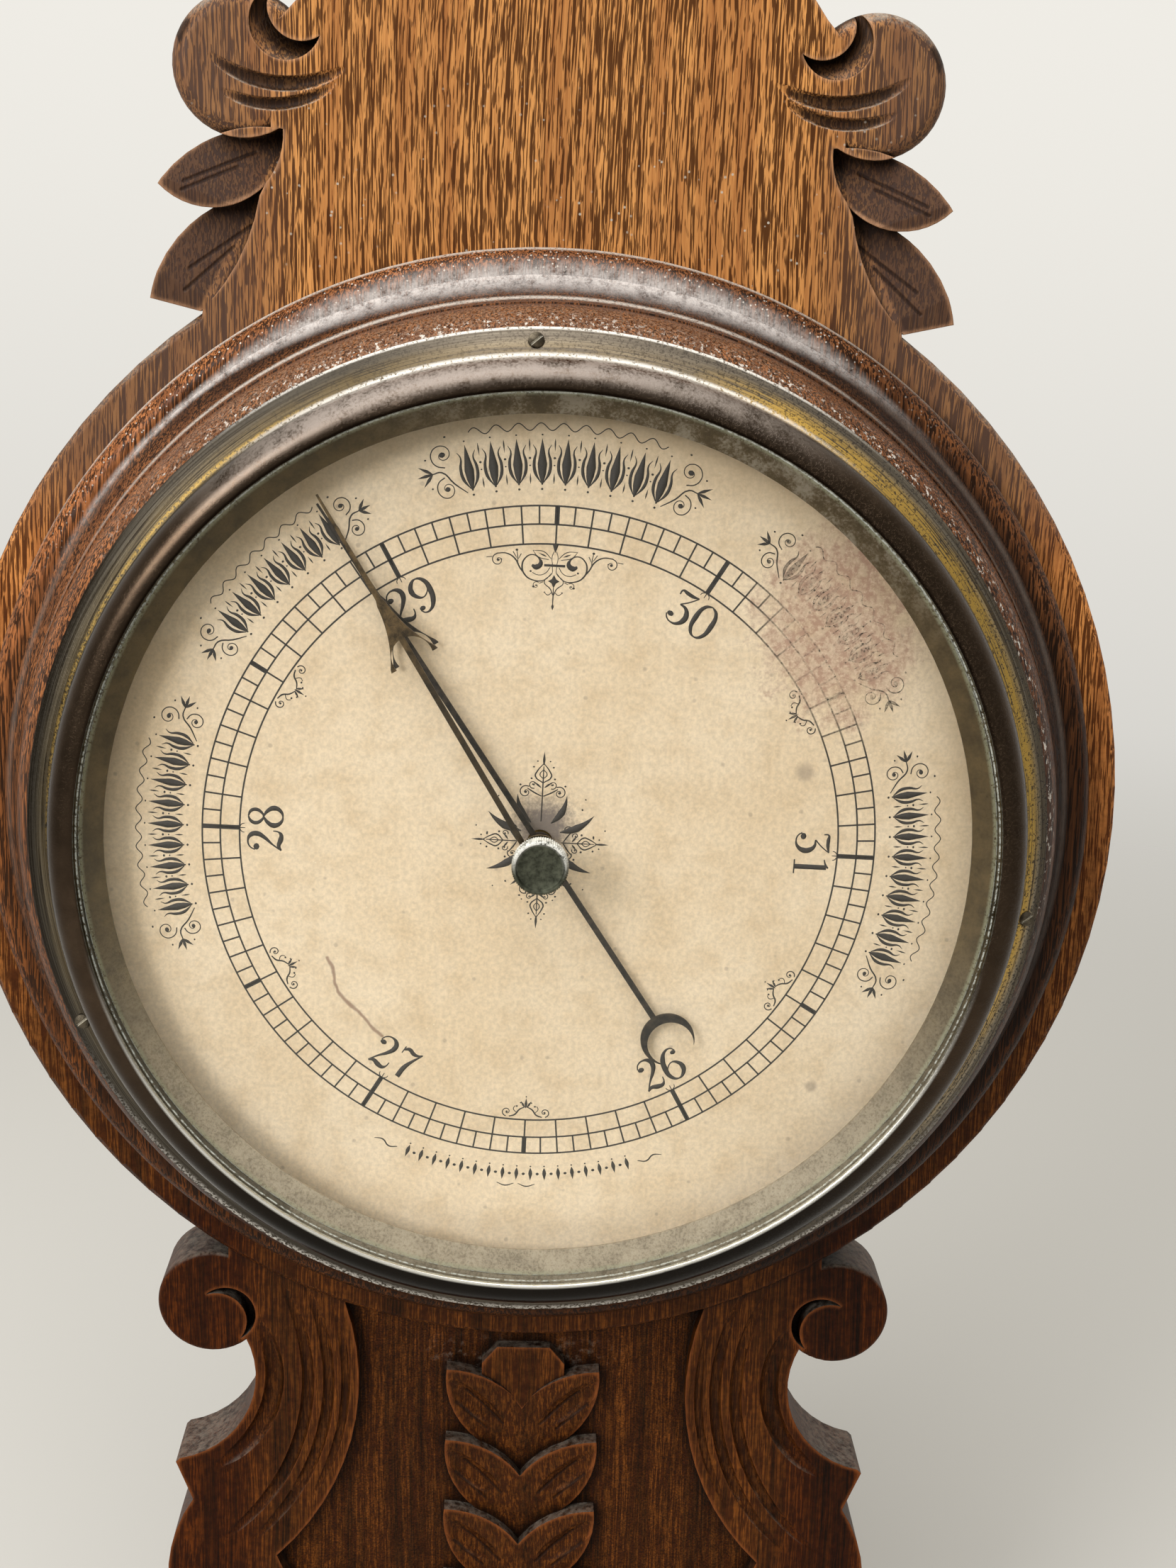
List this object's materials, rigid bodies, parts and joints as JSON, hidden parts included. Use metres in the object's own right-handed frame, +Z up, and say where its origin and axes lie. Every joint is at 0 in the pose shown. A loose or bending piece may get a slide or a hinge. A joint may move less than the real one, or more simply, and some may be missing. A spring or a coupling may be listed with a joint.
{
  "type": "banjo barometer",
  "caption": "Carved oak banjo-shaped wall barometer: aneroid movement behind a printed dial, brass bezel and glass, pointer and set hand, thermometer on the neck, hanging eye.",
  "frame": {"origin": "centre of the hanging eye's hole, at the wall", "axes": "+X to the viewer's right, +Y into the wall, +Z up; the dial faces -Y"},
  "size_m": [0.2872, 0.0728, 0.8219],
  "materials": {
    "oak": "waxed oak, worn and dusty on its ledges",
    "dark_oak": "dark waxed oak",
    "aged_brass": "tarnished brass with bare bright places",
    "brass": "plain brass",
    "glass": "clear glass",
    "card": "foxed cream card, printed",
    "scale_white": "off-white glazed scale",
    "tinplate": "dull tinplate",
    "blued_steel": "blackened steel",
    "steel": "bare steel",
    "mercury": "bright mercury"
  },
  "bodies": {
    "case": {"case_board": "oak", "dial_surround": "oak", "thermometer_frame": "dark_oak", "bezel": "aged_brass", "bezel_screws": "aged_brass", "sight_ring": "aged_brass", "dial_screws": "brass", "tube_clips": "brass", "frame_screws": "brass", "hanging_plate": "brass", "hanging_screws": "brass", "cover_screws": "brass", "base_plate": "brass", "pillars": "brass", "capsule": "brass", "spring_bridge": "brass", "shaft_bracket": "brass", "bridge_posts": "brass", "arbor_bridge": "brass", "cock_pillars": "brass", "arbor_cock": "brass", "hairspring_stud": "brass", "dial_glass": "glass", "thermometer_glass": "glass", "thermometer_tube": "glass", "dial_card": "card", "thermometer_scale": "scale_white", "dial_plate": "tinplate", "back_cover": "tinplate", "pillar_screws": "steel", "capsule_nut": "steel", "spring_clamp": "steel", "clamp_screws": "steel", "hairspring": "steel", "mercury_thread": "mercury"},
    "pointer_body": {"pointer": "blued_steel", "pointer_arbor": "steel", "chain_drum": "brass"},
    "set_hand_body": {"set_hand": "aged_brass", "set_arbor": "brass", "set_knob": "aged_brass", "spring_washer": "brass"},
    "post_body": {"capsule_post": "steel"},
    "lever_body": {"mainspring": "steel", "main_lever": "steel"},
    "link_body": {"connecting_link": "steel"},
    "shaft_body": {"rocking_shaft": "steel"},
    "chain_body": {"chain": "steel"},
    "adjuster_body": {"adjusting_screw": "steel"}
  },
  "joints": [
    {"name": "pointer_turn", "type": "hinge", "parent": "case", "child": "pointer_body", "pos_m": [0, -0.0528, -0.519], "axis": [0, 1, 0], "range_deg": [-175, 125], "stiffness_Nm_per_rad": 0.002},
    {"name": "set_hand_turn", "type": "hinge", "parent": "case", "child": "set_hand_body", "pos_m": [0, -0.0641, -0.519], "axis": [0, 1, 0], "continuous": true},
    {"name": "chain_slide", "type": "slide", "parent": "case", "child": "chain_body", "axis": [0, 0, -1], "range_m": [-0.006, 0.0042]},
    {"name": "shaft_rock", "type": "hinge", "parent": "case", "child": "shaft_body", "pos_m": [0, -0.016, -0.569], "axis": [1, 0, 0], "range_deg": [-13.3, 9.3]},
    {"name": "lever_swing", "type": "hinge", "parent": "case", "child": "lever_body", "pos_m": [0, -0.0307, -0.493], "axis": [1, 0, 0], "range_deg": [-0.85, 0.6]},
    {"name": "link_swing", "type": "hinge", "parent": "lever_body", "child": "link_body", "pos_m": [-0.008, -0.032, -0.574], "axis": [1, 0, 0], "range_deg": [-0.6, 0.85]},
    {"name": "post_slide", "type": "slide", "parent": "case", "child": "post_body", "axis": [0, 1, 0], "range_m": [-0.0004, 0.0003]},
    {"name": "adjusting_turn", "type": "hinge", "parent": "case", "child": "adjuster_body", "pos_m": [0, -0.005, -0.475], "axis": [0, 1, 0], "range_deg": [-180, 180]}
  ],
  "couplings": [
    {"joint": "chain_slide", "follows": "pointer_turn", "m_per_rad": 0.00187},
    {"joint": "shaft_rock", "follows": "pointer_turn", "ratio": 0.073047},
    {"joint": "lever_swing", "follows": "pointer_turn", "ratio": 0.0045091},
    {"joint": "link_swing", "follows": "pointer_turn", "ratio": -0.0045091},
    {"joint": "post_slide", "follows": "pointer_turn", "m_per_rad": 0.00011724}
  ]
}
